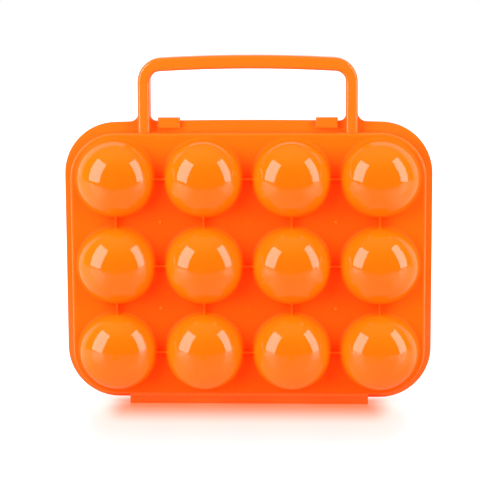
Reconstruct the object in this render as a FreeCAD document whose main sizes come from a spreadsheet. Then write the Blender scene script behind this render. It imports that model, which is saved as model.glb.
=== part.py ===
"""Clamshell egg carrier: two moulded halves on a film hinge, with a split carrying handle.

Millimetres, +Z up. The origin is the middle of the foot rail's underside, at floor level. The halves
meet on the plane y = 0, and the front half, with its domes, faces -Y. Both halves come from one
moulding form, drawn out of its mould along Y, so every hollow opens on the meeting plane.
"""

import FreeCAD, Part
import math
import os

import Sketcher

# Driving dimensions in millimetres and degrees, each with what it measures.
SIZES = [
    ("body_width", 245.0, "flange, edge to edge across"),
    ("body_height", 188.2, "flange, bottom edge to the middle of its top edge"),
    ("top_crown", 2.3, "flange's arched top edge, middle above its ends"),
    ("corner_radius", 34.5, "flange corners"),
    ("flange_thick", 1.6, "flange of one half"),
    ("wall", 1.6, "skin of the pan, the cups, the handle and the rail"),
    ("parting_gap", 0.2, "gap left between the closed halves"),
    ("pan_depth", 11.0, "meeting plane to the pan's outer face"),
    ("pan_side_margin", 3.8, "flange showing beside the pan"),
    ("pan_top_margin", 7.5, "flange showing above the pan's middle"),
    ("pan_foot_margin", 3.1, "flange showing below the pan"),
    ("pan_draft", 4.0, "slope of the pan's walls, in degrees"),
    ("pan_edge_round", 2.2, "rounding of the pan's outer edge"),
    ("cup_pitch", 58.4, "cup centre to cup centre, across and up"),
    ("dome_edge", 3.0, "least flat left between a dome and the pan's edge"),
    ("dome_radius", 25.5, "dome where it leaves the pan"),
    ("dome_rise", 21.5, "dome crown above the pan's face"),
    ("dome_fullness", 1.3, "how full the dome's shoulder is, 1 for slack and 2 for square"),
    ("dome_foot_round", 2.5, "fillet where a dome meets the pan"),
    ("rib_thick", 1.2, "stiffening rib between two domes"),
    ("rib_rise", 5.0, "rib above the pan's face"),
    ("gate_mark_radius", 1.5, "moulding gate mark at its root"),
    ("gate_mark_rise", 0.9, "gate mark above the pan's face"),
    ("gate_mark_draft", 15.0, "slope of a gate mark's side, in degrees"),
    ("handle_width", 145.7, "handle, outside the legs"),
    ("handle_rise", 43.2, "flange top to the middle of the grip's top"),
    ("handle_crown", 2.6, "grip's top, middle above its ends"),
    ("grip_height", 9.0, "grip, top to underside"),
    ("leg_width", 8.0, "handle leg across"),
    ("handle_depth", 7.5, "meeting plane to the handle's face"),
    ("handle_outer_round", 16.2, "outer corners of the handle"),
    ("handle_inner_round", 7.0, "inner corners of the handle"),
    ("handle_edge_round", 2.4, "rounding along the handle's face"),
    ("web_outer_round", 6.0, "fillet outside a handle foot"),
    ("web_inner_round", 4.3, "fillet inside a handle foot"),
    ("rail_length", 160.8, "foot rail, end to end"),
    ("rail_depth", 7.0, "meeting plane to the rail's face"),
    ("rail_drop", 3.7, "rail's underside below the flange"),
    ("rail_edge_round", 0.5, "rounding of the rail's outer edges"),
    ("film_thick", 0.5, "hinge film"),
    ("film_width", 1.2, "hinge film on one half"),
    ("hook_width", 14.6, "snap hook across"),
    ("hook_offset", 52.4, "snap hook's middle from the carrier's middle"),
    ("hook_rise", 2.2, "hook's back above the flange"),
    ("hook_reach", 4.6, "hook's lip down over the front flange"),
    ("hook_thick", 1.5, "hook's lip"),
    ("hook_clearance", 0.25, "between the hook and what it laps over"),
    ("catch_rise", 0.8, "catch ridge above the front flange's face"),
    ("catch_height", 1.2, "catch ridge, up and down"),
    ("hook_barb", 1.0, "barb at the end of the lip, up and down"),
    ("hook_edge_round", 0.5, "rounding of the hook's upright front edges"),
]

# Places worked out from the driving dimensions, as formulas of the sheet's names.
FLANGE_BOTTOM = "sizes.rail_drop"
FLANGE_TOP = "(sizes.rail_drop + sizes.body_height)"
PAN_BOTTOM = "(sizes.rail_drop + sizes.pan_foot_margin)"
PAN_TOP = "(sizes.rail_drop + sizes.body_height - sizes.pan_top_margin)"
PAN_HALF = "(sizes.body_width / 2 - sizes.pan_side_margin)"
PAN_ROUND = "(sizes.corner_radius - sizes.pan_side_margin)"
DOME_MARGIN = "(sizes.dome_radius + sizes.dome_edge)"
CUP_COLUMNS = "(floor(2 * (" + PAN_HALF + " - " + DOME_MARGIN + ") / sizes.cup_pitch) + 1)"
CUP_ROWS = "(floor((" + PAN_TOP + " - " + PAN_BOTTOM + " - 2 * " + DOME_MARGIN + ") / sizes.cup_pitch) + 1)"
HALF_COLUMNS = "((" + CUP_COLUMNS + " - 1) * sizes.cup_pitch / 2)"
HALF_ROWS = "((" + CUP_ROWS + " - 1) * sizes.cup_pitch / 2)"
CUPS_MIDDLE = "((" + PAN_BOTTOM + " + " + PAN_TOP + ") / 2)"
LEG_OUTSIDE = "(sizes.handle_width / 2)"
LEG_INSIDE = "(sizes.handle_width / 2 - sizes.leg_width)"
CROWN_RADIUS = "((" + LEG_OUTSIDE + "^2 + sizes.handle_crown^2) / (2 * sizes.handle_crown))"
GRIP_TOP = "(" + FLANGE_TOP + " + sizes.handle_rise)"
SHOULDER_DEPTH = "(sizes.pan_depth + sizes.dome_foot_round)"
ARCH_RISE = "(sizes.dome_rise - sizes.dome_foot_round)"
SHOULDER_RADIUS = (
    "(sizes.dome_fullness * sizes.dome_radius * " + ARCH_RISE + " / (sizes.dome_radius + " + ARCH_RISE + "))"
)
DOME_CROWN_RADIUS = (
    "((sizes.dome_radius^2 + " + ARCH_RISE + "^2 - 2 * sizes.dome_radius * " + SHOULDER_RADIUS + ")"
    " / (2 * (" + ARCH_RISE + " - " + SHOULDER_RADIUS + ")))"
)
HOOK_LIP_BACK = "(sizes.flange_thick + sizes.catch_rise + sizes.hook_clearance)"
OUTER_FACE = "0"  # the skin left off a form that is drawn at its full size


def plus(formula, extra):
    """Formula of a place moved by another formula."""
    return "(" + formula + " + " + extra + ")"


def minus(formula, extra):
    """Formula of a place moved back by another formula."""
    return "(" + formula + " - " + extra + ")"


def crown_height(radius, half_width, top):
    """Formula of the height at half_width of an arch whose middle is at top."""
    return "(" + top + " - " + radius + " + sqrt(" + radius + "^2 - " + half_width + "^2))"


def flange_top(across):
    """Formula of the height of the flange's arched top edge at a place across."""
    return "(" + FLANGE_TOP + " - sizes.top_crown * (2 * " + across + " / sizes.body_width)^2)"


HOOK_SEAT = flange_top("sizes.hook_offset")
TOP_RADIUS = "((sizes.body_width^2 / 4 + sizes.top_crown^2) / (2 * sizes.top_crown))"


def make_sheet(doc):
    """Spreadsheet with one named cell for each driving dimension."""
    sheet = doc.addObject("Spreadsheet::Sheet", "sizes")
    for row, (alias, number, meaning) in enumerate(SIZES, start=1):
        sheet.set("A%d" % row, alias)
        sheet.set("B%d" % row, str(number))
        sheet.setAlias("B%d" % row, alias)
        sheet.set("C%d" % row, meaning)
    doc.recompute()
    return sheet


def number_of(owner, formula):
    """Number that a formula of the sheet's names gives now."""
    return float(owner.evalExpression(formula))


def origin_part(body, role):
    """Plane or axis of a body's own origin."""
    return next(part for part in body.Origin.OriginFeatures if part.Role == role)


def new_sketch(body, name, plane="XZ_Plane"):
    """Empty sketch on one of the body's origin planes."""
    sketch = body.newObject("Sketcher::SketchObject", name)
    sketch.AttachmentSupport = [(origin_part(body, plane), "")]
    sketch.MapMode = "FlatFace"
    return sketch


def bind(sketch, constraint, formula):
    """Add a constraint whose value follows a formula."""
    index = sketch.addConstraint(constraint)
    sketch.setExpression("Constraints[%d]" % index, formula)


def pin_point(sketch, geometry, end, across, up):
    """Hold one end of a geometry at a place given by two formulas."""
    for kind, formula, axis in (("DistanceX", across, -2), ("DistanceY", up, -1)):
        if formula == "0":
            sketch.addConstraint(Sketcher.Constraint("PointOnObject", geometry, end, axis))
        else:
            place = number_of(sketch, formula)
            bind(sketch, Sketcher.Constraint(kind, -1, 1, geometry, end, place), formula)


def corner_arc(before, corner, after, radius):
    """Arc that rounds a corner, with its first and last points along the outline."""
    back = (before - corner).normalize()
    ahead = (after - corner).normalize()
    half_turn = back.getAngle(ahead) / 2
    first = corner + back * (radius / math.tan(half_turn))
    last = corner + ahead * (radius / math.tan(half_turn))
    centre = corner + (back + ahead).normalize() * (radius / math.sin(half_turn))
    turns_left = back.cross(ahead).z < 0
    start, stop = (first, last) if turns_left else (last, first)
    angle_start = math.atan2(start.y - centre.y, start.x - centre.x)
    angle_stop = math.atan2(stop.y - centre.y, stop.x - centre.x)
    if angle_stop < angle_start:
        angle_stop += 2 * math.pi
    circle = Part.Circle(centre, FreeCAD.Vector(0, 0, 1), radius)
    return Part.ArcOfCircle(circle, angle_start, angle_stop), first, last, turns_left


def arch(first, last, radius):
    """Shallow arc between two points, its middle upwards."""
    left, right = sorted((first, last), key=lambda point: point.x)
    half = (right - left).Length / 2
    middle = (left + right) * 0.5
    centre = middle - FreeCAD.Vector(0, math.sqrt(radius**2 - half**2), 0)
    angles = [math.atan2(end.y - centre.y, end.x - centre.x) for end in (right, left)]
    return Part.ArcOfCircle(Part.Circle(centre, FreeCAD.Vector(0, 0, 1), radius), *angles)


def draw_outline(sketch, corners):
    """Closed outline through corners, each a (across, up, rounding, arch radius) of formulas.

    The rounding may be None. The arch radius, or None, bends the side that leaves the corner.
    """
    places = [FreeCAD.Vector(number_of(sketch, c[0]), number_of(sketch, c[1]), 0) for c in corners]
    count = len(corners)
    joints = []
    for index, corner in enumerate(corners):
        rounding = corner[2]
        if rounding is None:
            joints.append((None, places[index], places[index], True))
            continue
        arc, first, last, turns_left = corner_arc(
            places[index - 1], places[index], places[(index + 1) % count], number_of(sketch, rounding)
        )
        geometry = sketch.addGeometry(arc, False)
        bind(sketch, Sketcher.Constraint("Radius", geometry, arc.Radius), rounding)
        joints.append((geometry, first, last, turns_left))
    sides = []
    for index, corner in enumerate(corners):
        first = joints[index][2]
        last = joints[(index + 1) % count][1]
        if corner[3] is None:
            sides.append((sketch.addGeometry(Part.LineSegment(first, last), False), 1, 2))
            continue
        radius = number_of(sketch, corner[3])
        geometry = sketch.addGeometry(arch(first, last, radius), False)
        bind(sketch, Sketcher.Constraint("Radius", geometry, radius), corner[3])
        sides.append((geometry, 1, 2) if first.x > last.x else (geometry, 2, 1))
    for index, (across, up, rounding, _) in enumerate(corners):
        side, start, _ = sides[index]
        former, _, end = sides[index - 1]
        arc, _, _, turns_left = joints[index]
        if arc is None:
            sketch.addConstraint(Sketcher.Constraint("Coincident", former, end, side, start))
            pin_point(sketch, side, start, across, up)
            continue
        arc_in, arc_out = (1, 2) if turns_left else (2, 1)
        sketch.addConstraint(Sketcher.Constraint("Tangent", former, end, arc, arc_in))
        sketch.addConstraint(Sketcher.Constraint("Tangent", side, start, arc, arc_out))
        point = sketch.addGeometry(Part.Point(places[index]), True)
        pin_point(sketch, point, 1, across, up)
        sketch.addConstraint(Sketcher.Constraint("PointOnObject", point, 1, former))
        sketch.addConstraint(Sketcher.Constraint("PointOnObject", point, 1, side))


def draw_box(sketch, half_width, bottom, top, rounding=None):
    """Upright rectangle about the vertical axis, with equal roundings or none."""
    left = "-" + half_width
    corners = [(left, bottom), (half_width, bottom), (half_width, top), (left, top)]
    draw_outline(sketch, [(across, up, rounding, None) for across, up in corners])


def pad(body, name, sketch, length):
    """Pad towards -Y from the meeting plane."""
    feature = body.newObject("PartDesign::Pad", name)
    feature.Profile = sketch
    feature.setExpression("Length", length)
    return feature


def pocket(body, name, sketch, length):
    """Pocket towards -Y from the meeting plane."""
    feature = body.newObject("PartDesign::Pocket", name)
    feature.Profile = sketch
    feature.Reversed = True
    feature.setExpression("Length", length)
    return feature


def round_edges(body, name, base, chosen, radius):
    """Round the edges of a feature that a test picks."""
    body.Document.recompute()
    edges = enumerate(base.Shape.Edges, start=1)
    names = ["Edge%d" % number for number, edge in edges if chosen(edge)]
    feature = body.newObject("PartDesign::Fillet", name)
    feature.Base = (base, names)
    feature.setExpression("Radius", radius)
    body.Document.recompute()
    return feature


def lies_at_depth(edge, depth):
    """True for an edge that lies wholly at one depth in front of the meeting plane."""
    box = edge.BoundBox
    return abs(box.YMin + depth) < 1e-4 and abs(box.YMax + depth) < 1e-4


def add_rim(body):
    """Flange and the handle's first layer, as one flat outline with the finger gap as its hole."""
    sketch = new_sketch(body, "rim_outline")
    outer_end = crown_height(CROWN_RADIUS, LEG_OUTSIDE, GRIP_TOP)
    half = "(sizes.body_width / 2)"
    corner = "sizes.corner_radius"
    draw_outline(sketch, [
        ("-" + half, FLANGE_BOTTOM, corner, None),
        (half, FLANGE_BOTTOM, corner, None),
        (half, flange_top(half), corner, None),
        (LEG_OUTSIDE, flange_top(LEG_OUTSIDE), "sizes.web_outer_round", None),
        (LEG_OUTSIDE, outer_end, "sizes.handle_outer_round", CROWN_RADIUS),
        ("-" + LEG_OUTSIDE, outer_end, "sizes.handle_outer_round", None),
        ("-" + LEG_OUTSIDE, flange_top(LEG_OUTSIDE), "sizes.web_outer_round", None),
        ("-" + half, flange_top(half), corner, None),
    ])
    inner_radius = minus(CROWN_RADIUS, "sizes.grip_height")
    inner_end = crown_height(inner_radius, LEG_INSIDE, minus(GRIP_TOP, "sizes.grip_height"))
    draw_outline(sketch, [
        ("-" + LEG_INSIDE, flange_top(LEG_INSIDE), "sizes.web_inner_round", TOP_RADIUS),
        (LEG_INSIDE, flange_top(LEG_INSIDE), "sizes.web_inner_round", None),
        (LEG_INSIDE, inner_end, "sizes.handle_inner_round", inner_radius),
        ("-" + LEG_INSIDE, inner_end, "sizes.handle_inner_round", None),
    ])
    return pad(body, "rim", sketch, "sizes.flange_thick")


def draw_staple(sketch, skin, foot):
    """Outline of the handle's bar and legs, drawn in by the skin thickness, down to the foot."""
    outside = minus(LEG_OUTSIDE, skin)
    inside = plus(LEG_INSIDE, skin)
    outer_radius = minus(CROWN_RADIUS, skin)
    inner_radius = plus(minus(CROWN_RADIUS, "sizes.grip_height"), skin)
    outer_end = crown_height(outer_radius, outside, minus(GRIP_TOP, skin))
    inner_end = crown_height(inner_radius, inside, plus(minus(GRIP_TOP, "sizes.grip_height"), skin))
    outer_round = minus("sizes.handle_outer_round", skin)
    inner_round = plus("sizes.handle_inner_round", skin)
    draw_outline(sketch, [
        ("-" + outside, foot, None, None),
        ("-" + inside, foot, None, None),
        ("-" + inside, inner_end, inner_round, inner_radius),
        (inside, inner_end, inner_round, None),
        (inside, foot, None, None),
        (outside, foot, None, None),
        (outside, outer_end, outer_round, outer_radius),
        ("-" + outside, outer_end, outer_round, None),
    ])


def add_handle(body):
    """Half of the carrying handle: a bar on two legs that run down in front of the flange."""
    sketch = new_sketch(body, "handle_outline")
    draw_staple(sketch, OUTER_FACE, minus(PAN_TOP, "sizes.wall"))
    bar = pad(body, "handle", sketch, "sizes.handle_depth")
    depth = number_of(body, "sizes.handle_depth")
    foot = number_of(body, minus(PAN_TOP, "sizes.wall"))
    round_edges(
        body, "handle_rounding", bar,
        lambda edge: lies_at_depth(edge, depth) and edge.BoundBox.ZMax > foot + 1e-3,
        "sizes.handle_edge_round",
    )


def add_pan(body):
    """Raised pan that carries the cups, with sloping walls and a rounded edge."""
    sketch = new_sketch(body, "pan_outline")
    draw_box(sketch, PAN_HALF, PAN_BOTTOM, PAN_TOP, PAN_ROUND)
    pan = pad(body, "pan", sketch, "sizes.pan_depth")
    pan.setExpression("TaperAngle", "-sizes.pan_draft")
    depth = number_of(body, "sizes.pan_depth")
    round_edges(
        body, "pan_rounding", pan,
        lambda edge: lies_at_depth(edge, depth),
        "sizes.pan_edge_round",
    )


def add_rail(body):
    """Foot rail under the pan: it carries the hinge film and is what the carrier stands on."""
    sketch = new_sketch(body, "rail_outline")
    draw_box(sketch, "(sizes.rail_length / 2)", "0", plus(PAN_BOTTOM, "sizes.wall"))
    rail = pad(body, "rail", sketch, "sizes.rail_depth")
    depth = number_of(body, "sizes.rail_depth")
    round_edges(
        body, "rail_rounding", rail,
        lambda edge: lies_at_depth(edge, depth) and edge.BoundBox.ZMax < 1e-3,
        "sizes.rail_edge_round",
    )


def cup_sketch(body, name):
    """Sketch through the first cup's axis, which is the sketch's own vertical axis."""
    sketch = new_sketch(body, name, "XY_Plane")
    sketch.setExpression("AttachmentOffset.Base.x", "-" + HALF_COLUMNS)
    sketch.setExpression("AttachmentOffset.Base.z", minus(CUPS_MIDDLE, HALF_ROWS))
    return sketch


def draw_arched_profile(sketch, skin, start, foot):
    """Half section of a dome, drawn in by the skin thickness.

    It starts on the axis at a depth, runs out and down to the shoulder's level, and closes over a
    shoulder arc and a crown arc that meet smoothly. With a foot it also flares out to the pan's face.
    """
    reach = number_of(sketch, minus("sizes.dome_radius", skin))
    level = -number_of(sketch, SHOULDER_DEPTH)
    shoulder_radius = number_of(sketch, minus(SHOULDER_RADIUS, skin))
    crown_radius = number_of(sketch, minus(DOME_CROWN_RADIUS, skin))
    crown = -number_of(sketch, minus("(sizes.pan_depth + sizes.dome_rise)", skin))
    normal = FreeCAD.Vector(0, 0, 1)
    shoulder_centre = FreeCAD.Vector(reach - shoulder_radius, level, 0)
    crown_centre = FreeCAD.Vector(0, crown + crown_radius, 0)
    toward = shoulder_centre - crown_centre
    turn = math.atan2(toward.y, toward.x)
    shoulder = sketch.addGeometry(
        Part.ArcOfCircle(Part.Circle(shoulder_centre, normal, shoulder_radius), turn, 0), False
    )
    crown_arc = sketch.addGeometry(
        Part.ArcOfCircle(Part.Circle(crown_centre, normal, crown_radius), -math.pi / 2, turn), False
    )
    base = -number_of(sketch, start)
    spread = number_of(sketch, "sizes.dome_foot_round") if foot else 0
    outer = FreeCAD.Vector(reach + spread, base, 0)
    axis_start = FreeCAD.Vector(0, base, 0)
    axis = sketch.addGeometry(Part.LineSegment(FreeCAD.Vector(0, crown, 0), axis_start), False)
    floor = sketch.addGeometry(Part.LineSegment(axis_start, outer), False)
    side_end = FreeCAD.Vector(outer.x, level + spread, 0)
    side = sketch.addGeometry(Part.LineSegment(outer, side_end), False)
    sketch.addConstraint(Sketcher.Constraint("Tangent", crown_arc, 2, shoulder, 1))
    sketch.addConstraint(Sketcher.Constraint("Coincident", crown_arc, 1, axis, 1))
    sketch.addConstraint(Sketcher.Constraint("Coincident", axis, 2, floor, 1))
    sketch.addConstraint(Sketcher.Constraint("Coincident", floor, 2, side, 1))
    sketch.addConstraint(Sketcher.Constraint("Horizontal", floor))
    sketch.addConstraint(Sketcher.Constraint("Vertical", side))
    for geometry, end in ((axis, 1), (axis, 2), (crown_arc, 3)):
        sketch.addConstraint(Sketcher.Constraint("PointOnObject", geometry, end, -2))
    flared = plus(minus("sizes.dome_radius", skin), "sizes.dome_foot_round")
    width = flared if foot else minus("sizes.dome_radius", skin)
    bind(sketch, Sketcher.Constraint("DistanceX", -1, 1, side, 1, outer.x), width)
    bind(sketch, Sketcher.Constraint("DistanceY", side, 1, -1, 1, -base), start)
    bind(sketch, Sketcher.Constraint("DistanceY", shoulder, 3, -1, 1, -level), SHOULDER_DEPTH)
    bind(sketch, Sketcher.Constraint("Radius", shoulder, shoulder_radius), minus(SHOULDER_RADIUS, skin))
    deepest = minus("(sizes.pan_depth + sizes.dome_rise)", skin)
    bind(sketch, Sketcher.Constraint("DistanceY", axis, 1, -1, 1, -crown), deepest)
    if not foot:
        sketch.addConstraint(Sketcher.Constraint("Tangent", side, 2, shoulder, 2))
        return
    fillet_centre = FreeCAD.Vector(reach + spread, level, 0)
    fillet = sketch.addGeometry(
        Part.ArcOfCircle(Part.Circle(fillet_centre, normal, spread), math.pi / 2, math.pi), False
    )
    bind(sketch, Sketcher.Constraint("Radius", fillet, spread), "sizes.dome_foot_round")
    sketch.addConstraint(Sketcher.Constraint("Perpendicular", side, 2, fillet, 1))
    sketch.addConstraint(Sketcher.Constraint("Tangent", fillet, 2, shoulder, 2))


def revolve(body, kind, name, sketch):
    """Revolution or groove of a half section about its sketch's vertical axis."""
    feature = body.newObject("PartDesign::" + kind, name)
    feature.Profile = sketch
    feature.ReferenceAxis = (sketch, ["V_Axis"])
    feature.Angle = 360
    return feature


def repeat(body, name, original, columns, rows):
    """Repeat a feature on the cup grid, with formulas for how many across and up."""
    pattern = body.newObject("PartDesign::LinearPattern", name)
    pattern.Originals = [original]
    pattern.Direction = (origin_part(body, "X_Axis"), [""])
    pattern.Direction2 = (origin_part(body, "Z_Axis"), [""])
    pattern.setExpression("Length", "((" + columns + ") - 1) * sizes.cup_pitch")
    pattern.setExpression("Occurrences", columns)
    pattern.setExpression("Length2", "((" + rows + ") - 1) * sizes.cup_pitch")
    pattern.setExpression("Occurrences2", rows)
    body.Tip = pattern
    return pattern


def add_ribs(body):
    """Thin ribs that tie neighbouring domes, along the rows and along the columns."""
    across = new_sketch(body, "rib_across_outline")
    thick = "(sizes.rib_thick / 2)"
    lowest = minus(CUPS_MIDDLE, HALF_ROWS)
    draw_box(across, HALF_COLUMNS, minus(lowest, thick), plus(lowest, thick))
    rib = pad(body, "rib_across", across, "sizes.pan_depth + sizes.rib_rise")
    repeat(body, "ribs_across", rib, "1", CUP_ROWS)
    upward = new_sketch(body, "rib_up_outline")
    left = "-" + HALF_COLUMNS
    top = plus(CUPS_MIDDLE, HALF_ROWS)
    draw_outline(upward, [
        (minus(left, thick), lowest, None, None),
        (plus(left, thick), lowest, None, None),
        (plus(left, thick), top, None, None),
        (minus(left, thick), top, None, None),
    ])
    rib = pad(body, "rib_up", upward, "sizes.pan_depth + sizes.rib_rise")
    repeat(body, "ribs_up", rib, CUP_COLUMNS, "1")


def add_domes(body):
    """Outer domes of the cups, standing on the pan with a fillet round each foot."""
    sketch = cup_sketch(body, "dome_profile")
    draw_arched_profile(sketch, OUTER_FACE, "(sizes.pan_depth - sizes.wall / 2)", True)
    dome = revolve(body, "Revolution", "dome", sketch)
    repeat(body, "domes", dome, CUP_COLUMNS, CUP_ROWS)


def add_gate_marks(body):
    """Small round marks of the moulding gates, each in the middle of four cups of an outer pair."""
    sketch = new_sketch(body, "gate_mark_outline")
    sketch.setExpression("AttachmentOffset.Base.z", "sizes.pan_depth - sizes.wall / 2")
    left = "-" + minus(HALF_COLUMNS, "sizes.cup_pitch / 2")
    low = plus(minus(CUPS_MIDDLE, HALF_ROWS), "sizes.cup_pitch / 2")
    place = FreeCAD.Vector(number_of(sketch, left), number_of(sketch, low), 0)
    radius = number_of(sketch, "sizes.gate_mark_radius")
    circle = sketch.addGeometry(Part.Circle(place, FreeCAD.Vector(0, 0, 1), radius), False)
    bind(sketch, Sketcher.Constraint("Radius", circle, radius), "sizes.gate_mark_radius")
    pin_point(sketch, circle, 3, left, low)
    mark = pad(body, "gate_mark", sketch, "sizes.gate_mark_rise + sizes.wall / 2")
    mark.setExpression("TaperAngle", "-sizes.gate_mark_draft")
    pattern = repeat(body, "gate_marks", mark, "2", minus(CUP_ROWS, "1"))
    pattern.setExpression("Length", "2 * " + minus(HALF_COLUMNS, "sizes.cup_pitch / 2"))


def hollow_pan(body):
    """Hollow of the pan, one skin inside its walls."""
    sketch = new_sketch(body, "pan_hollow_outline")
    wall = "sizes.wall"
    bottom = plus(PAN_BOTTOM, wall)
    top = minus(PAN_TOP, wall)
    draw_box(sketch, minus(PAN_HALF, wall), bottom, top, minus(PAN_ROUND, wall))
    hollow = pocket(body, "pan_hollow", sketch, "sizes.pan_depth - sizes.wall")
    hollow.setExpression("TaperAngle", "-sizes.pan_draft")


def hollow_cups(body):
    """Egg cups, one skin inside the domes and cut through the pan's face."""
    sketch = cup_sketch(body, "cup_profile")
    draw_arched_profile(sketch, "sizes.wall", "(sizes.pan_depth - 2 * sizes.wall)", False)
    cup = revolve(body, "Groove", "cup", sketch)
    repeat(body, "cups", cup, CUP_COLUMNS, CUP_ROWS)


def hollow_handle(body):
    """Channel inside the handle, down to the pan's top wall."""
    sketch = new_sketch(body, "handle_hollow_outline")
    draw_staple(sketch, "sizes.wall", PAN_TOP)
    pocket(body, "handle_hollow", sketch, "sizes.handle_depth - sizes.wall")


def hollow_rail(body):
    """Channel inside the foot rail, and the step that thins its floor to the hinge film."""
    sketch = new_sketch(body, "rail_hollow_outline")
    inside = "(sizes.rail_length / 2 - sizes.wall)"
    draw_box(sketch, inside, "sizes.wall", PAN_BOTTOM)
    pocket(body, "rail_hollow", sketch, "sizes.rail_depth - sizes.wall")
    step = new_sketch(body, "film_step_outline")
    draw_box(step, inside, "sizes.film_thick", plus("sizes.wall", "sizes.film_thick"))
    pocket(body, "film_step", step, "sizes.film_width")


def make_half(doc):
    """One moulded half, its meeting face on y = 0 and its domes towards -Y."""
    body = doc.addObject("PartDesign::Body", "half")
    add_rim(body)
    add_handle(body)
    add_pan(body)
    add_rail(body)
    add_ribs(body)
    add_domes(body)
    add_gate_marks(body)
    hollow_pan(body)
    hollow_cups(body)
    hollow_handle(body)
    hollow_rail(body)
    doc.recompute()
    return body


def make_profile_body(doc, name, corners, width, offset):
    """Bar with a profile in the YZ plane, centred across at an offset from the middle."""
    body = doc.addObject("PartDesign::Body", name)
    sketch = new_sketch(body, name + "_profile", "YZ_Plane")
    draw_outline(sketch, [(depth, up, None, None) for depth, up in corners])
    bar = pad(body, name + "_bar", sketch, width)
    bar.Midplane = True
    body.setExpression("Placement.Base.x", offset)
    return body


def make_catch(doc, name, offset):
    """Catch ridge on the front flange, which a snap hook's barb drops behind."""
    face = "-sizes.flange_thick"
    crest = minus("-sizes.flange_thick", "sizes.catch_rise")
    foot = plus(HOOK_SEAT, "sizes.hook_barb + sizes.hook_clearance - sizes.hook_reach")
    top = plus(foot, "sizes.catch_height")
    inside = "-sizes.flange_thick / 2"
    slope_start = plus(foot, "sizes.catch_height / 3")
    corners = [(inside, foot), (inside, top), (face, top), (crest, slope_start), (crest, foot)]
    return make_profile_body(doc, name, corners, "sizes.hook_width - 2 * sizes.hook_clearance", offset)


def make_hook(doc, name, offset):
    """Snap hook moulded on the rear flange's top: a back over both flanges, a lip and a barb."""
    back = plus(HOOK_SEAT, "sizes.hook_rise")
    under = plus(HOOK_SEAT, "sizes.hook_clearance")
    end = minus(HOOK_SEAT, "sizes.hook_reach")
    lip_back = "-" + plus(HOOK_LIP_BACK, "sizes.parting_gap")
    lip_face = "-" + plus(HOOK_LIP_BACK, "sizes.parting_gap + sizes.hook_thick")
    barb_tip = "-(sizes.flange_thick + sizes.parting_gap + sizes.hook_clearance)"
    corners = [
        ("sizes.flange_thick", minus(HOOK_SEAT, "sizes.flange_thick / 2")),
        ("sizes.flange_thick", back),
        (lip_face, back),
        (lip_face, end),
        (barb_tip, end),
        (barb_tip, plus(end, "sizes.hook_barb")),
        (lip_back, plus(end, "sizes.hook_barb")),
        (lip_back, under),
        ("0", under),
        ("0", minus(HOOK_SEAT, "sizes.flange_thick / 2")),
    ]
    hook = make_profile_body(doc, name, corners, "sizes.hook_width", offset)
    depth = -number_of(hook, lip_face)
    round_edges(
        hook, name + "_rounding", hook.Tip,
        lambda edge: lies_at_depth(edge, depth) and edge.BoundBox.XLength < 1e-4,
        "sizes.hook_edge_round",
    )
    return hook


def join(doc, name, pieces, shift):
    """One moulding from its pieces, moved off the meeting plane by half the parting gap."""
    fused = doc.addObject("Part::MultiFuse", name)
    fused.Shapes = pieces
    fused.Refine = True
    fused.Label = name
    fused.setExpression("Placement.Base.y", shift)
    return fused


def make_shells(doc):
    """The front and rear mouldings."""
    half = make_half(doc)
    sides = (("left", "-sizes.hook_offset"), ("right", "sizes.hook_offset"))
    catches = [make_catch(doc, "catch_" + side, offset) for side, offset in sides]
    front = join(doc, "front_shell", [half] + catches, "-sizes.parting_gap / 2")
    mirrored = doc.addObject("Part::Mirroring", "mirrored_half")
    mirrored.Source = half
    mirrored.Normal = (0, 1, 0)
    hooks = [make_hook(doc, "hook_" + side, offset) for side, offset in sides]
    rear = join(doc, "rear_shell", [mirrored] + hooks, "sizes.parting_gap / 2")
    doc.recompute()
    return [front, rear]


def check_document(doc, shells):
    """Stop with a plain message if any object failed or any shell isn't one sound solid."""
    for item in doc.Objects:
        if "Invalid" in item.State or "Error" in item.State:
            raise RuntimeError(item.Name + " failed to compute")
    for shell in shells:
        if shell.Shape.isNull() or not shell.Shape.isValid() or len(shell.Shape.Solids) != 1:
            raise RuntimeError(shell.Label + " is not one sound solid")


def main():
    doc = FreeCAD.newDocument("egg_carrier")
    make_sheet(doc)
    shells = make_shells(doc)
    check_document(doc, shells)
    os.makedirs("parts", exist_ok=True)
    for shell in shells:
        shell.Shape.exportStep("parts/" + shell.Label + ".step")
        print(shell.Label, "volume %.0f mm3" % shell.Shape.Volume)


main()
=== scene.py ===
# %% [markdown]
# # An orange egg carrier on white paper
#
# The carrier is one glossy plastic moulding, folded shut at a hinge along its foot. Its form comes ready
# made: two shells, a front and a rear one, with their cups, ribs, hooks and handle. This script gives them
# their plastic, sets them on white paper, lights them with two tall softboxes and places the camera.

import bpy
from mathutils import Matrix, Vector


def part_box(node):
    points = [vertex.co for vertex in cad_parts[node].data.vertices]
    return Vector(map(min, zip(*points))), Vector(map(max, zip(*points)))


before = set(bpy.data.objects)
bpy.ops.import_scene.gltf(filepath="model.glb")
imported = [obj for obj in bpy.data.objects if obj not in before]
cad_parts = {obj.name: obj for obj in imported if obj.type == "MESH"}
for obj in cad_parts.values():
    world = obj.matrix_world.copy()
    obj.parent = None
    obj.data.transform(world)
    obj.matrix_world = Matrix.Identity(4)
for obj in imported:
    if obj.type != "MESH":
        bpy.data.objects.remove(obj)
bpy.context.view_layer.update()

# %% Tools
import math

import bpy
import numpy as np
from mathutils import Matrix, Vector

# %% [markdown]
# ## The places that everything else follows
#
# Sizes are read off the shells, so the paper and the lamps' aim stay right if the carrier changes. The
# shells' boxes give the floor's height and the middle of the body. The outermost points of the front shell
# are the crowns of its domes, and they give the lines on which the cups stand.

# %% Measure the shells
CROWN_DEPTH = 0.00001
CROWN_DECIMALS = 4

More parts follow.
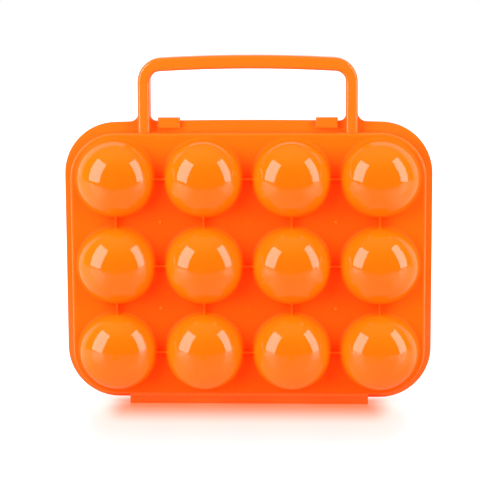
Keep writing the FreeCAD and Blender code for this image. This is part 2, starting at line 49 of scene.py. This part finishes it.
front_low, front_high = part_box("front_shell")
rear_low, rear_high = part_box("rear_shell")
carrier_low = Vector(map(min, front_low, rear_low))
carrier_high = Vector(map(max, front_high, rear_high))
width, depth, height = carrier_high - carrier_low
print("width %.1f, depth %.1f and height %.1f mm" % (1000 * width, 1000 * depth, 1000 * height))


def crown_lines(shell):
    """Columns and rows on which the shell's outermost points lie, which are the crowns of its domes."""
    points = np.empty(3 * len(shell.data.vertices))
    shell.data.vertices.foreach_get("co", points)
    points = points.reshape(-1, 3)
    crowns = points[points[:, 1] < front_low.y + CROWN_DEPTH]
    across, up = (np.unique(np.round(crowns[:, axis], CROWN_DECIMALS)) for axis in (0, 2))
    return across, up


columns, rows = crown_lines(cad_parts["front_shell"])
cup_pitch = float(columns[1] - columns[0])
print(len(columns), "columns and", len(rows), "rows of cups,", round(1000 * cup_pitch, 1), "mm apart")

# %% [markdown]
# ## Shader maths as plain expressions
#
# A pattern is easier to read as a formula than as a web of nodes. The class below wraps one output of a
# material. Arithmetic on it adds the Math nodes, and its one method adds any other kind of node.


# %% Signals
class Signal:
    """A number, colour or vector at one socket of a material, on which arithmetic adds Math nodes."""

    def __init__(self, tree, socket=None):
        self.tree = tree
        self.socket = socket

    def node(self, kind, settings=None, inputs=None, output=0):
        """Add a node, set it up, feed its sockets by name or number, and give back one output."""
        made = self.tree.nodes.new(kind)
        for name, setting in (settings or {}).items():
            setattr(made, name, setting)
        for name, given in (inputs or {}).items():
            if isinstance(given, Signal):
                self.tree.links.new(given.socket, made.inputs[name])
            else:
                made.inputs[name].default_value = given
        return Signal(self.tree, made.outputs[output])

    def maths(self, operation, *others):
        """One Math node on this signal and others."""
        return self.node("ShaderNodeMath", {"operation": operation}, dict(enumerate((self, *others))))

    def __add__(self, other):
        return self.maths("ADD", other)

    __radd__ = __add__

    def __mul__(self, other):
        return self.maths("MULTIPLY", other)

    __rmul__ = __mul__

    def __sub__(self, other):
        return self.maths("SUBTRACT", other)

    def __rsub__(self, other):
        return (self * -1.0) + other

    def part(self, axis):
        """One coordinate of a place."""
        return self.node("ShaderNodeSeparateXYZ", inputs={0: self}, output=axis)

    def ramp(self, low, high):
        """0 below low, 1 above high, and a smooth rise between them."""
        settings = {"interpolation_type": "SMOOTHSTEP"}
        inputs = {"Value": self, "From Min": low, "From Max": high}
        return self.node("ShaderNodeMapRange", settings, inputs)

    def mix_colours(self, colour_a, colour_b):
        """Colour a where this signal is 0 and colour b where it is 1."""
        inputs = {"Factor": self, 6: colour_a, 7: colour_b}
        return self.node("ShaderNodeMix", {"data_type": "RGBA"}, inputs, output=2)


def blank_material(name):
    """A material without nodes, and a Signal on which they are built."""
    material = bpy.data.materials.new(name)
    material.use_nodes = True
    material.node_tree.nodes.clear()
    return material, Signal(material.node_tree)


def show(surface, kind="ShaderNodeOutputMaterial"):
    """Make this shader the one that its material or world shows."""
    shown = surface.tree.nodes.new(kind)
    surface.tree.links.new(surface.socket, shown.inputs["Surface"])


# %% [markdown]
# ## Glossy orange plastic
#
# The real carrier is moulded from a soft, waxy plastic. Its domes, flange and handle are polished and mirror
# the lamps. The flat between the domes is satin and painted a deeper, redder orange: that is painted shade,
# for the shade that falls between the domes. One flat colour would look like paint.
#
# So the skin is divided by place. A point's distance from the nearest dome's axis and its depth tell whether
# it lies on a dome, on the flat or on the rim, and each part gets its painted light or shade and its polish.
# The gate marks get a painted highlight. Faint flow bands, haze and a slow waviness are laid over all of
# them, as moulding leaves them.

# %% Tones of orange, with painted light and shade
ORANGE = (1.0, 0.193, 0.003, 1.0)
# painted light: the paler orange of the flange, handle and pan rim, as if lit from above
LIT_RIM_ORANGE = (1.0, 0.200, 0.010, 1.0)
# painted shade: the deeper orange of the flat between the domes and of the rail near the floor
SHADED_ORANGE = (1.0, 0.115, 0.002, 1.0)
# painted shade at the crowns: the domes are painted lighter on their flanks, as lit by the side lamps
CROWN_SHADE = 0.55
# painted light: the outer sides and the top of the carrier are painted lighter than the middle
SIDE_LIGHT = 0.5
TOP_LIGHT = 0.8
FLOW_TONE = 0.25

# %% Where one part of the skin ends and the next begins, in metres
RIM_TO = (0.0103, 0.0109)
RAISED_FROM = (0.0110, 0.0114)
CROWN_TO = (0.004, 0.022)
POLISH_TO = (0.0240, 0.0256)
DOME_TO = (0.0250, 0.0272)
# where the gate marks get their painted highlight and their polish
MARK_FROM = (0.0390, 0.0398)
# below this height the rim gets no painted light, so the rail keeps the painted shade
RAIL_TO = (0.0048, 0.0062)
# where the painted light on the outer sides and on the top begins
SIDE_FROM = (0.31 * width, 0.44 * width)
TOP_FROM = (0.63 * height, 0.76 * height)


# %% Divide the skin
def distance_from_crown(place):
    """Distance from the nearest dome's axis: both ways are folded at every half pitch, as if on one cup."""
    beside = (place.part("X") - float(columns[0])).maths("PINGPONG", cup_pitch / 2)
    above = (place.part("Z") - float(rows[0])).maths("PINGPONG", cup_pitch / 2)
    return (beside * beside + above * above).maths("SQRT")


def skin_parts(place):
    """Painted shade-to-light tone (0 deep, 1 full orange), rim's painted light, dome share and polish."""
    radius = distance_from_crown(place)
    out = place.part("Y").maths("ABSOLUTE")
    raised = out.ramp(*RAISED_FROM)
    rim = 1.0 - out.ramp(*RIM_TO)
    # painted highlight on the gate marks, which are also polished
    mark = raised * radius.ramp(*MARK_FROM)
    dome = raised * (1.0 - radius.ramp(*DOME_TO))
    # painted light and shade on the domes: darker at the crown, full orange towards the foot
    dome_light_and_shade = dome * (radius.ramp(*CROWN_TO) * (1.0 - CROWN_SHADE) + CROWN_SHADE)
    # painted light on the outer sides and on the top
    side_light = place.part("X").maths("ABSOLUTE").ramp(*SIDE_FROM) * SIDE_LIGHT
    top_light = place.part("Z").ramp(*TOP_FROM) * TOP_LIGHT
    tone = dome_light_and_shade.maths("MAXIMUM", side_light.maths("MAXIMUM", top_light)) + mark
    polish = (raised * (1.0 - radius.ramp(*POLISH_TO))).maths("MAXIMUM", rim) + mark
    # painted light on the rim: paler everywhere except near the floor
    pale = rim * place.part("Z").ramp(*RAIL_TO)
    return tone, pale, dome, polish


# %% [markdown]
# Light also passes a little way through the thin walls, so the real carrier's shadows stay red where paint
# would turn brown. Tracing that light would wash the red out of walls this thin. A faint red light of the
# wall's own stands for it, with a touch of yellow on the domes.

# %% Gloss, satin and the light in the wall
FLOW = {"Scale": 14.0, "Detail": 3.0, "Distortion": 0.8}
HAZE = {"Scale": 260.0, "Detail": 4.0}
WAVE = {"Scale": 70.0, "Detail": 1.0}
WAVE_HEIGHT = 0.00003
HAZE_FROM = (0.4, 0.75)
GLOSS_CLEAN = 0.05
GLOSS_HAZY = 0.09
SATIN = 0.40
SATIN_SHINE = 0.06
PLASTIC_IOR = 1.52
FLAT_LIGHT = (1.0, 0.0, 0.0, 1.0)
DOME_LIGHT = (1.0, 0.07, 0.0, 1.0)
WALL_LIGHT = 0.32


# %% Mix the plastic
def moulded_plastic(name):
    """Polished orange plastic with a satin flat, painted light and shade, flow bands, haze and a slightly
    wavy skin.
    """
    material, blank = blank_material(name)
    place = blank.node("ShaderNodeTexCoord", output="Object")
    flow, haze, wave = (
        blank.node("ShaderNodeTexNoise", inputs={"Vector": place, **noise}) for noise in (FLOW, HAZE, WAVE)
    )
    tone, pale, dome, polish = skin_parts(place)
    # painted shade on the flat and the rail, full orange where light is painted, with real flow bands over it
    raised_colour = (tone + (flow - 0.5) * FLOW_TONE).mix_colours(SHADED_ORANGE, ORANGE)
    wavy = {"Height": wave, "Distance": WAVE_HEIGHT, "Strength": 1.0}
    skin = {
        # the rim gets its paler painted light, the rest the painted shade and light above
        "Base Color": pale.mix_colours(raised_colour, LIT_RIM_ORANGE),
        "Normal": blank.node("ShaderNodeBump", inputs=wavy),
        "Emission Color": dome.mix_colours(FLAT_LIGHT, DOME_LIGHT),
        "Emission Strength": WALL_LIGHT,
        "IOR": PLASTIC_IOR,
    }
    gloss = haze.ramp(*HAZE_FROM) * (GLOSS_HAZY - GLOSS_CLEAN) + GLOSS_CLEAN
    dull = {"Roughness": SATIN, "Specular IOR Level": SATIN_SHINE}
    polished = blank.node("ShaderNodeBsdfPrincipled", inputs={**skin, "Roughness": gloss})
    satin = blank.node("ShaderNodeBsdfPrincipled", inputs={**skin, **dull})
    show(blank.node("ShaderNodeMixShader", inputs={0: polish, 1: satin, 2: polished}))
    return material


orange_plastic = moulded_plastic("orange_plastic")
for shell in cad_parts.values():
    shell.data.materials.clear()
    shell.data.materials.append(orange_plastic)
    print(shell.name, "has its plastic")

# %% [markdown]
# ## The white paper
#
# The carrier stands on a wide sheet of white paper. At its foot it keeps its shadow and, for the camera,
# painted shade; a painted orange glow that fades with the distance stands for the colour the plastic throws
# on it. Away from the foot the paper shines by itself for the camera alone, quickly at first and then slowly,
# until it is plain white. That keeps the background white without more light on the plastic.
#
# Other rays meet paper that only sends back the lamps' light. The domes mirror it: near the foot it is
# painted warm with the plastic's colour as painted light, at the sides it is painted lighter than in the
# middle as painted lamp light, and it darkens towards its front edge.

# %% Whites of the paper, its painted shade and painted light, and its glow
PAPER_RADIUS = 6.0
PAPER_FRONT = -0.42
PAPER_ROUGHNESS = 0.32
# painted shade: what the camera sees of the paper at the foot is painted darker
PAPER_FOOT_SHADE = (0.27, 0.27, 0.27, 1.0)
PAPER_FAR = (0.40, 0.40, 0.40, 1.0)
# painted light: warm paper near the foot, for the orange light that the plastic throws on it
PAPER_BOUNCE = (0.80, 0.68, 0.52, 1.0)
# painted light: the paper is painted lighter at the sides, under the lamps
PAPER_SIDES_LAMPLIT = (0.95, 0.93, 0.85, 1.0)
PAPER_EDGE = (0.08, 0.08, 0.08, 1.0)
BLACK = (0.0, 0.0, 0.0, 1.0)
WHITE = (1.0, 1.0, 1.0, 1.0)
FOOT_GLOW = (1.0, 0.12, 0.0, 1.0)
GLOW_STRENGTH = 0.95

# %% How far each reaches from the foot, in metres
FOOT_HALF_WIDTH = 0.33 * width
FOOT_HALF_DEPTH = 0.20 * depth
SIDEWAYS_FASTER = 3.0
FOOT_TO = (0.02, 0.14)
SIDES_FROM = (0.12, 0.24)
EDGE_TO = (PAPER_FRONT, PAPER_FRONT + 0.22)
GLOW_TO = (0.0, 0.09)
FAST_SHINE = (-0.002, 0.055)
SLOW_SHINE = (0.020, 0.250)
FAST_SHARE = 0.6


# %% Lay the paper
def paper_surface(rings=40):
    """Points of the paper: straight rows from its front edge back to its far edge, level with the foot.

    Row k lies at y = front + (radius - front) (k / rings)^2, so the rows are close where the carrier stands.
    """
    back = PAPER_FRONT + (PAPER_RADIUS - PAPER_FRONT) * np.linspace(0.0, 1.0, rings + 1) ** 2
    across, along = np.meshgrid(np.array([-PAPER_RADIUS, 0.0, PAPER_RADIUS]), back)
    return np.stack((across, along, np.full_like(across, carrier_low.z)), axis=-1)


def grid_mesh(name, points):
    """Mesh of one sheet from a grid of points, with a face between each four neighbours."""
    number = np.arange(points[..., 0].size).reshape(points.shape[:2])
    faces = np.stack((number[:-1, :-1], number[:-1, 1:], number[1:, 1:], number[1:, :-1]), axis=-1)
    mesh = bpy.data.meshes.new(name)
    mesh.from_pydata(points.reshape(-1, 3).tolist(), [], faces.reshape(-1, 4).tolist())
    mesh.shade_smooth()
    return mesh


def stage_object(name, points, material):
    """Put a sheet that isn't part of the carrier into the scene."""
    mesh = grid_mesh(name, points)
    mesh.materials.append(material)
    item = bpy.data.objects.new(name, mesh)
    bpy.context.scene.collection.objects.link(item)
    return item


def distance_from_foot(place):
    """Distance from the rail's outline on the paper, counted faster sideways and behind than in front."""
    beside = (place.part("X").maths("ABSOLUTE") - FOOT_HALF_WIDTH).maths("MAXIMUM", 0.0) * SIDEWAYS_FASTER
    behind = place.part("Y").maths("MAXIMUM", 0.0) * SIDEWAYS_FASTER
    before = (place.part("Y") * -1.0 - FOOT_HALF_DEPTH).maths("MAXIMUM", 0.0)
    return (beside * beside + behind * behind + before * before).maths("SQRT")


def white_paper():
    """White paper that shines for the camera, more the further it lies from the carrier's foot."""
    material, blank = blank_material("paper_white")
    place = blank.node("ShaderNodeTexCoord", output="Object")
    away = distance_from_foot(place)
    seen = blank.node("ShaderNodeLightPath", output="Is Camera Ray")
    shine_level = away.ramp(*FAST_SHINE) * FAST_SHARE + away.ramp(*SLOW_SHINE) * (1.0 - FAST_SHARE)
    shine = shine_level.mix_colours(BLACK, WHITE)
    glow = ((1.0 - away.ramp(*GLOW_TO)) * GLOW_STRENGTH).mix_colours(BLACK, FOOT_GLOW)
    both = blank.node("ShaderNodeVectorMath", {"operation": "ADD"}, {0: shine, 1: glow})
    for_camera = blank.node("ShaderNodeVectorMath", {"operation": "SCALE"}, {0: both, "Scale": seen})
    # 0 at the foot, where the paper has its painted shade and painted warmth, 1 away from it
    lit = away.ramp(*FOOT_TO)
    aside = place.part("X").maths("ABSOLUTE").ramp(*SIDES_FROM)
    inside = place.part("Y").ramp(*EDGE_TO)
    # for other rays: painted warm light near the foot, painted lamp light at the sides, darker in front
    sent_back = lit.mix_colours(PAPER_BOUNCE, PAPER_FAR)
    sent_back = aside.mix_colours(sent_back, PAPER_SIDES_LAMPLIT)
    sent_back = inside.mix_colours(PAPER_EDGE, sent_back)
    paper = {
        # for the camera: painted shade at the foot; for other rays: painted warm light and painted lamp light
        "Base Color": seen.mix_colours(sent_back, lit.mix_colours(PAPER_FOOT_SHADE, PAPER_FAR)),
        "Roughness": PAPER_ROUGHNESS,
        "Emission Color": for_camera,
        "Emission Strength": 1.0,
    }
    show(blank.node("ShaderNodeBsdfPrincipled", inputs=paper))
    return material


stage_object("paper", paper_surface(), white_paper())
print("the paper lies at height", round(carrier_low.z, 4))

# %% [markdown]
# ## The dark front of the room
#
# The rims of the domes are pale and their middles are not. So the room behind and beside the carrier is
# white, and its front, round the camera, is dark. A large dark half sphere stands for that front. It turns
# grey overhead, because the domes are a little paler again above their middles.

# %% Darken the front
ROOM_RADIUS = 3.2
ROOM_DARK = (0.02, 0.02, 0.02, 1.0)
ROOM_CEILING = (0.44, 0.44, 0.44, 1.0)
CEILING_FROM = (0.50 * ROOM_RADIUS, ROOM_RADIUS)
DARK_TURN = (1.0, 179.0)
DARK_SWEEP = (-32.0, 102.0)


def half_sphere(steps=32):
    """Points of the room's front: part of a sphere about the carrier's foot, its poles at left and right.

    With turn a from pole to pole and sweep b the point is r (cos a, -sin a cos b, sin a sin b). The sweep
    goes from below the floor to a little beyond the zenith.
    """
    turns = np.radians(np.linspace(*DARK_TURN, 2 * steps))
    sweeps = np.radians(np.linspace(*DARK_SWEEP, steps))
    turn, sweep = np.meshgrid(turns, sweeps)
    across, along, up = np.cos(turn), -np.sin(turn) * np.cos(sweep), np.sin(turn) * np.sin(sweep)
    return ROOM_RADIUS * np.stack((across, along, up), axis=-1)


def dark_cloth():
    """Plain black cloth that turns grey towards the ceiling."""
    material, blank = blank_material("dark_cloth")
    overhead = blank.node("ShaderNodeTexCoord", output="Object").part("Z").ramp(*CEILING_FROM)
    room_colour = overhead.mix_colours(ROOM_DARK, ROOM_CEILING)
    cloth = {"Base Color": room_colour, "Roughness": 1.0, "Specular IOR Level": 0.0}
    show(blank.node("ShaderNodeBsdfPrincipled", inputs=cloth))
    return material


room_front = stage_object("room_front", half_sphere(), dark_cloth())
room_front.visible_camera = False
room_front.visible_diffuse = False
room_front.visible_shadow = False
print("the front of the room is dark out to", ROOM_RADIUS, "m")

# %% [markdown]
# ## Two softboxes
#
# Each dome shows two bright panes that reach from just above the paper to well over the carrier. A dome is a
# mirror whose slope is known, so the panes' corners give the lamps' directions and sizes. A tall softbox
# stands to the left, another and narrower one further round to the right, and both lean inwards at the top.

# %% Hang the lamps
AIM_HEIGHT = 0.45 * height
AIM = Vector((0.0, 0.0, carrier_low.z + AIM_HEIGHT))
LAMP_DISTANCE = 1.2
LAMP_RADIANCE = 5.4


def softbox(name, azimuth, elevation, size, roll):
    """Rectangular lamp that looks at the carrier from a direction in degrees, 0 being the front.

    Its axes are side = (cos a, sin a, 0), back = (sin a cos e, -cos a cos e, sin e) and up = back x side,
    and the roll turns side and up about back.
    """
    lamp = bpy.data.lights.new(name, "AREA")
    lamp.shape = "RECTANGLE"
    lamp.size, lamp.size_y = size
    lamp.energy = LAMP_RADIANCE * math.pi * size[0] * size[1]
    turn, rise, lean = (math.radians(angle) for angle in (azimuth, elevation, roll))
    side = Vector((math.cos(turn), math.sin(turn), 0.0))
    back = Vector((math.sin(turn) * math.cos(rise), -math.cos(turn) * math.cos(rise), math.sin(rise)))
    up = back.cross(side)
    axes = (side * math.cos(lean) + up * math.sin(lean), up * math.cos(lean) - side * math.sin(lean), back)
    holder = bpy.data.objects.new(name, lamp)
    holder.matrix_world = Matrix.Translation(AIM + LAMP_DISTANCE * back) @ Matrix(axes).transposed().to_4x4()
    bpy.context.scene.collection.objects.link(holder)
    return holder


softbox("softbox_left", azimuth=-52.8, elevation=18.7, size=(0.66, 1.04), roll=-11.5)
softbox("softbox_right", azimuth=61.2, elevation=20.3, size=(0.44, 1.13), roll=11.0)
print("two softboxes stand beside the camera")

# %% [markdown]
# ## The white room
#
# A studio sends a little light from everywhere, which softens the shadows between the domes. More lamps could
# do that, but each would add a pane of its own to every dome. The world gives it evenly instead. To the
# camera and in mirrors the same world is plain white, as the backdrop behind the carrier is.

# %% Light the room
ROOM_FILL = 0.55


def white_room():
    """Background, white to the camera, in mirrors and through glass, with a plain fill for matt surfaces."""
    world = bpy.data.worlds.new("room")
    world.use_nodes = True
    world.node_tree.nodes.clear()
    blank = Signal(world.node_tree)
    seen = blank.node("ShaderNodeLightPath", output="Is Camera Ray")
    mirrored = blank.node("ShaderNodeLightPath", output="Is Glossy Ray")
    through = blank.node("ShaderNodeLightPath", output="Is Transmission Ray")
    white = seen.maths("MAXIMUM", mirrored).maths("MAXIMUM", through)
    level = white * (1.0 - ROOM_FILL) + ROOM_FILL
    backdrop = blank.node("ShaderNodeBackground", inputs={"Color": WHITE, "Strength": level})
    show(backdrop, "ShaderNodeOutputWorld")
    return world


bpy.context.scene.world = white_room()
bpy.context.scene.view_settings.view_transform = "Standard"
print("the room is white and sends", ROOM_FILL, "of that on matt surfaces")

# %% [markdown]
# ## The camera
#
# A long lens looks down at the carrier by nine degrees, from a little to the right of its middle. The lens,
# the distance and the angles were fitted together to the edges of the flange, the cups and the handle.

# %% Place the camera
LENS = 142.5
SENSOR = 36.0
CAMERA_DISTANCE = 1.2753
CAMERA_DOWN = 9.057
CAMERA_ROUND = 2.562
CAMERA_ROLL = -0.3255
CAMERA_AIM_ACROSS = -0.00570
CAMERA_AIM_HEIGHT = 0.11096


def place_camera():
    """Camera on a sphere about its aim point, with the picture's sides turned by the roll."""
    down, around, roll = (math.radians(angle) for angle in (CAMERA_DOWN, CAMERA_ROUND, CAMERA_ROLL))
    across = Vector((math.cos(around), math.sin(around), 0.0))
    ahead = Vector((-math.sin(around) * math.cos(down), math.cos(around) * math.cos(down), -math.sin(down)))
    upward = across.cross(ahead)
    aim = CAMERA_AIM_ACROSS * across + Vector((0.0, 0.0, CAMERA_AIM_HEIGHT))
    right = across * math.cos(roll) + upward * math.sin(roll)
    top = upward * math.cos(roll) - across * math.sin(roll)
    camera = bpy.data.objects.new("camera", bpy.data.cameras.new("camera"))
    camera.data.lens = LENS
    camera.data.sensor_width = SENSOR
    axes = Matrix((right, top, -ahead)).transposed().to_4x4()
    camera.matrix_world = Matrix.Translation(aim - CAMERA_DISTANCE * ahead) @ axes
    bpy.context.scene.collection.objects.link(camera)
    bpy.context.scene.camera = camera
    return camera


camera = place_camera()
print("the camera stands at", [round(number, 3) for number in camera.matrix_world.translation])
